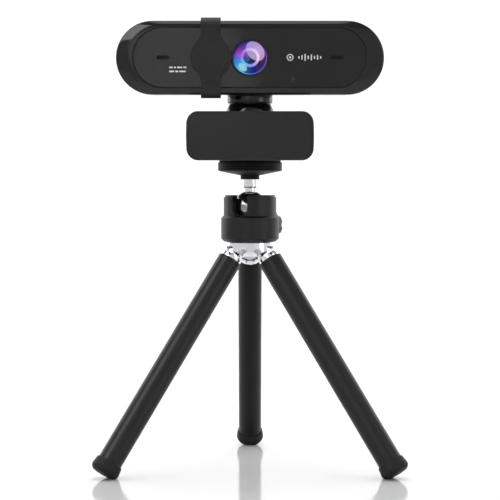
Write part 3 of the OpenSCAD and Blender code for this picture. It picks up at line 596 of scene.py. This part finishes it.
def lens_look():
    """Coated optics: rings of lilac, cyan and violet whose hue turns round the axis, with painted shade
    towards the rim, a painted highlight on the ring's right side and two painted reflections.
    """
    s = Shader("coated_lens", (0.05, 0.03, 0.2), 0.1,
               Coat_Weight=0.2, Coat_Roughness=0.02, Specular_IOR_Level=0.12)
    vectors = "ShaderNodeVectorMath"
    from_axis = s.maths("SUBTRACT", s.coordinates(), tuple(HEAD), kind=vectors)
    x, _, z = s.split(s.maths("MULTIPLY", from_axis, (1 / (LENS_R * MM),) * 3, kind=vectors))

    def times(a, b):
        return s.maths("MULTIPLY", a, b)

    def length(a, b):
        return s.maths("SQRT", s.maths("ADD", times(a, a), times(b, b)))

    # Turn 0 and 1 are the left, 0.25 the bottom, 0.5 the right and 0.75 the top. Radius 1 is the rim.
    radius = length(x, z)
    turn = s.maths("ADD", s.maths("DIVIDE", s.maths("ARCTAN2", z, x), 2 * math.pi), 0.5)
    body_hue = s.ramp(turn, [
        (0.0, (0.14, 0.15, 0.75)), (0.07, (0.03, 0.34, 0.8)), (0.14, (0.03, 0.42, 0.75)),
        (0.22, (0.0, 0.06, 0.22)), (0.3, (0.003, 0.005, 0.17)), (0.42, (0.015, 0.002, 0.06)),
        (0.5, (0.06, 0.007, 0.11)), (0.62, (0.2, 0.1, 0.45)), (0.74, (0.1, 0.05, 0.42)),
        (0.86, (0.14, 0.035, 0.4)), (0.94, (0.36, 0.05, 0.55)), (1.0, (0.14, 0.15, 0.75)),
    ])
    # The ring's colour; its bright pink arc on the right is a painted highlight.
    ring_hue_and_highlight = s.ramp(turn, [
        (0.0, (0.28, 0.22, 0.85)), (0.08, (0.14, 0.48, 0.9)), (0.18, (0.14, 0.5, 0.9)),
        (0.27, (0.26, 0.3, 0.85)), (0.38, (0.5, 0.35, 0.88)), (0.5, (0.9, 0.6, 0.95)),
        (0.65, (0.8, 0.55, 0.95)), (0.8, (0.45, 0.3, 0.85)), (0.92, (0.45, 0.16, 0.75)),
        (1.0, (0.28, 0.22, 0.85)),
    ])
    core_hue = s.ramp(turn, [
        (0.0, (0.03, 0.05, 0.35)), (0.12, (0.008, 0.1, 0.2)), (0.25, (0.004, 0.015, 0.15)),
        (0.4, (0.006, 0.0, 0.06)), (0.6, (0.04, 0.01, 0.12)), (0.8, (0.08, 0.02, 0.28)),
        (0.93, (0.28, 0.03, 0.4)), (1.0, (0.03, 0.05, 0.35)),
    ])
    rim_hue = s.ramp(turn, [
        (0.0, (0.01, 0.08, 0.3)), (0.12, (0.12, 0.65, 0.9)), (0.3, (0.06, 0.12, 0.75)),
        (0.48, (0.3, 0.04, 0.6)), (0.6, (0.12, 0.015, 0.25)), (0.75, (0.015, 0.01, 0.08)),
        (0.95, (0.02, 0.01, 0.08)), (1.0, (0.01, 0.08, 0.3)),
    ])
    half_shade = (0.35, 0.35, 0.35)
    shade_turn = s.ramp(turn, [
        (0.0, half_shade), (0.1, BLACK), (0.56, BLACK), (0.66, WHITE), (0.9, WHITE), (1.0, half_shade),
    ], "LINEAR")
    in_shade = times(s.ramp(radius, [(0.66, BLACK), (0.98, WHITE)], "LINEAR"), shade_turn)

    def band(inner, full, full_to, outer):
        """1 between two radii, with soft edges."""
        return s.ramp(radius, [(inner, BLACK), (full, WHITE), (full_to, WHITE), (outer, BLACK)])

    color = s.mixed(in_shade, body_hue, (0.006, 0.003, 0.03))
    color = s.mixed(band(0.12, 0.16, 0.36, 0.4), color, core_hue)
    color = s.mixed(band(0.36, 0.4, 0.53, 0.565), color, ring_hue_and_highlight)
    color = s.mixed(s.ramp(radius, [(0.05, WHITE), (0.2, BLACK)]), color, (0.01, 0.05, 0.09))
    color = s.mixed(band(0.915, 0.935, 0.975, 0.99), color, rim_hue)
    color = s.mixed(s.ramp(radius, [(0.965, BLACK), (0.995, WHITE)]), color, (0.004, 0.002, 0.012))
    grooves = times(s.maths("ADD", s.maths("SINE", times(radius, 95.0)), 1.0), 0.5)
    grooved = s.node("ShaderNodeHueSaturation", Color=color, Value=s.spread(grooves, 0.82, 1.12))

    def oval(cx, cz, long, short, tilt, edge):
        """1 inside a tilted oval with a soft edge, 0 outside."""
        c, n = math.cos(math.radians(tilt)), math.sin(math.radians(tilt))
        dx, dz = s.maths("SUBTRACT", x, cx), s.maths("SUBTRACT", z, cz)
        u = s.maths("DIVIDE", s.maths("ADD", times(dx, c), times(dz, n)), long)
        v = s.maths("DIVIDE", s.maths("SUBTRACT", times(dz, c), times(dx, n)), short)
        return s.ramp(length(u, v), [(1 - edge, WHITE), (1.0, BLACK)])

    # Painted reflections, fixed in the colour: a large painted highlight at the upper right and a small one
    # at the lower left
    painted_highlight_hue = s.ramp(turn, [(0.3, (0.8, 0.5, 0.75)), (0.55, (0.9, 0.68, 0.95)), (0.8, (0.62, 0.6, 1.0))])
    color = s.mixed(times(oval(0.3, 0.36, 0.64, 0.47, -50, 0.05), 0.46), grooved.outputs["Color"], painted_highlight_hue)
    color = s.mixed(times(oval(-0.42, -0.56, 0.3, 0.2, -42, 0.08), 0.5), color, (0.55, 0.85, 0.88))
    s.feed(s.bsdf.inputs["Base Color"], color)
    s.bump(grooves, 0.12, 20)
    return s.material


def lens():
    """The optics behind the panel: stepped rings round a domed element, under one clear front."""
    dome_r, dome_front, dome_depth, steps = 2.45, 0.02, 0.26, 8
    profile = [(dome_r * i / steps, dome_front + dome_depth * (i / steps) ** 2) for i in range(steps + 1)]
    # The groove and ledge round the dome, the cone out to the rim's step, and the rim with a flat back
    profile += [(2.5, 0.42), (2.62, 0.44), (3.5, 0.3), (3.6, 0.3), (3.66, 0.4), (3.8, 0.42)]
    profile += [(5.9, 0.16), (6.05, 0.16)]
    profile += [(6.1, 0.06), (6.34, 0.04), (6.44, 0.12), (6.46, 0.5), (0.0, 0.55)]
    obj = turned("lens_optics", profile, lens_look(), "head", segments=128, closed=False)
    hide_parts("lens_glass")


def lamp():
    """The status lamp's tiny dome."""
    r, centre_y, back, steps = 0.96, 0.9, 1.0, 8
    light = box_middle("led_window")
    turns = [math.radians(-90 + 78 * i / steps) for i in range(steps + 1)]
    profile = [(r * math.cos(a), centre_y + r * math.sin(a)) for a in turns] + [(r, back), (0.0, back)]
    turned("lamp_dome", profile, looks["led_tint"], "head", (light.x, light.z), segments=40, closed=False)


def marks():
    """Small generic marks in place of printing: two rows of bars, and a ring with level bars."""
    y = PANEL_FRONT
    note_x, note_h, note_gap = -30.0, 0.55, 0.45
    for row, widths in ((-3.7, (1.3, 0.7, 1.9, 1.1)), (-5.2, (1.8, 1.1, 2.3))):
        x = note_x
        for i, w in enumerate(widths):
            name = f"note_{abs(int(row))}_{i}"
            flat_mark(name, bar(w, note_h), (x + w / 2, row), y, print_white, "head")
            x += w + note_gap
    ring_at, inner, outer, dot = (14.9, 0), 0.95, 1.25, 0.42
    front, back = y - MARK_PROUD, y + MARK_SUNK
    profile = [(inner, front), (outer, front), (outer, back), (inner, back)]
    turned("mark_ring", profile, print_white, "head", ring_at, segments=48)
    flat_mark("mark_dot", circle(dot), ring_at, y, print_white, "head")
    level_x, level_step, level_w = 18.2, 1.15, 0.42
    for i, h in enumerate((0.9, 1.7, 2.5, 1.3, 2.1, 1.1, 1.7, 0.9)):
        place = (level_x + level_step * i, 0)
        flat_mark(f"mark_level_{i}", bar(level_w, h), place, y, print_white, "head")


bezel()
front_panel()
screen_plate()
privacy_cover()
lens()
lamp()
marks()


# ---------------------------------------------------------------- stage, light and camera

def aimed(obj, place, aim):
    """Put a lamp or the camera in the scene, at a place and turned to look at a point."""
    scene.collection.objects.link(obj)
    obj.location = place
    obj.rotation_euler = (Vector(aim) - Vector(place)).to_track_quat("-Z", "Y").to_euler()


def area(name, place, aim, size, power):
    """A rectangular lamp that the camera doesn't see; sizes are in metres and power in watts."""
    data = bpy.data.lights.new(name, "AREA")
    data.shape = "RECTANGLE"
    data.size, data.size_y = size
    data.energy = power
    obj = bpy.data.objects.new(name, data)
    aimed(obj, place, aim)
    obj.visible_camera = False
    return obj


def collected(name, objects):
    made = bpy.data.collections.new(name + "_receivers")
    for obj in objects:
        made.objects.link(obj)
    return made


def keep_off_backdrop(lamps):
    """These lamps light only the object, so that no mirror image of them shows in the floor."""
    pieces = [o for o in scene.collection.all_objects if o.type == "MESH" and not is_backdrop(o)]
    lit = collected("studio", pieces)
    for lamp in lamps:
        lamp.light_linking.receiver_collection = lit


def backdrop():
    """A pale round studio: a floor that curves up into a low wall all round."""
    flat, radius, top, segments, steps = 1.4, 0.8, 2.0, 96, 18
    profile = [(0.3, 0.0), (0.8, 0.0), (flat, 0.0)]
    for i in range(1, steps + 1):
        a = math.radians(90 * i / steps)
        profile.append((flat + radius * math.sin(a), radius - radius * math.cos(a)))
    profile.append((flat + radius, top))
    rings = [[(x, -y, z) for x, y in circle(r, segments)] for r, z in profile]
    points, faces = loft(rings)
    faces.append(tuple(reversed(range(segments))))
    mesh = bpy.data.meshes.new("backdrop")
    mesh.from_pydata(points, [], faces)
    mesh.shade_smooth()
    obj = bpy.data.objects.new("backdrop", mesh)
    scene.collection.objects.link(obj)
    s = Shader("paper", (0.88, 0.88, 0.885), 0.1)
    s.rough_between(s.noise(8.0), 0.09, 0.12)
    wear(obj, s.material)
    obj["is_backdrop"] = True
    return obj


def world():
    """Soft light all round, grey at the horizon and white overhead."""
    scene.world = bpy.data.worlds.new("studio")
    sky = Nodes(scene.world)
    _, _, height = sky.split(sky.coordinates("Generated"))
    background = sky.tree.nodes["Background"].inputs
    sky.feed(background["Color"], sky.ramp(height, [(0.0, (0.3, 0.3, 0.305)), (0.8, WHITE)], "LINEAR"))
    sky.feed(background["Strength"], 0.4)


stage = backdrop()
world()
OBJECT = (0, 0, 0.1)
area("top", (0.0, 0.1, 1.3), OBJECT, (1.2, 0.8), 6)
area("wash", (0.0, 1.1, 1.75), (0, 2.0, 0.4), (2.4, 0.5), 22)
# The softbox is turned so that its edge crosses the gloss panel at a slant.
softbox = area("softbox", (-0.46, -1.85, 0.4), (0, 0, 0.158), (0.78, 1.35), 2.2)
softbox.rotation_euler.rotate_axis("Z", math.radians(24))
keep_off_backdrop([
    softbox,
    area("key", (-0.9, -0.9, 1.1), OBJECT, (0.9, 0.9), 10),
    area("fill", (1.1, -0.7, 0.5), OBJECT, (0.5, 1.1), 3),
    area("rim_left", (-0.9, 0.7, 0.5), OBJECT, (0.3, 1.0), 2),
    area("rim_right", (0.9, 0.7, 0.5), OBJECT, (0.3, 1.0), 2),
])
floor_light = area("floor_light", (0.0, 0.0, 1.95), (0, 0, 0), (2.8, 2.8), 16)
floor_light.light_linking.receiver_collection = collected("floor_light", [stage])

# Where the camera is and looks, and the metres that the picture spans there
EYE = (0.0, -0.72, 0.108)
LOOK = (0.0, 0.0, 0.0845)
SPAN = 0.2
camera_data = bpy.data.cameras.new("camera")
camera = bpy.data.objects.new("camera", camera_data)
aimed(camera, EYE, LOOK)
camera_data.sensor_width = 36
camera_data.lens = camera_data.sensor_width * (Vector(LOOK) - Vector(EYE)).length / SPAN
camera_data.clip_start = 0.01
scene.camera = camera
scene.view_settings.view_transform = "Standard"
scene.view_settings.look = "None"
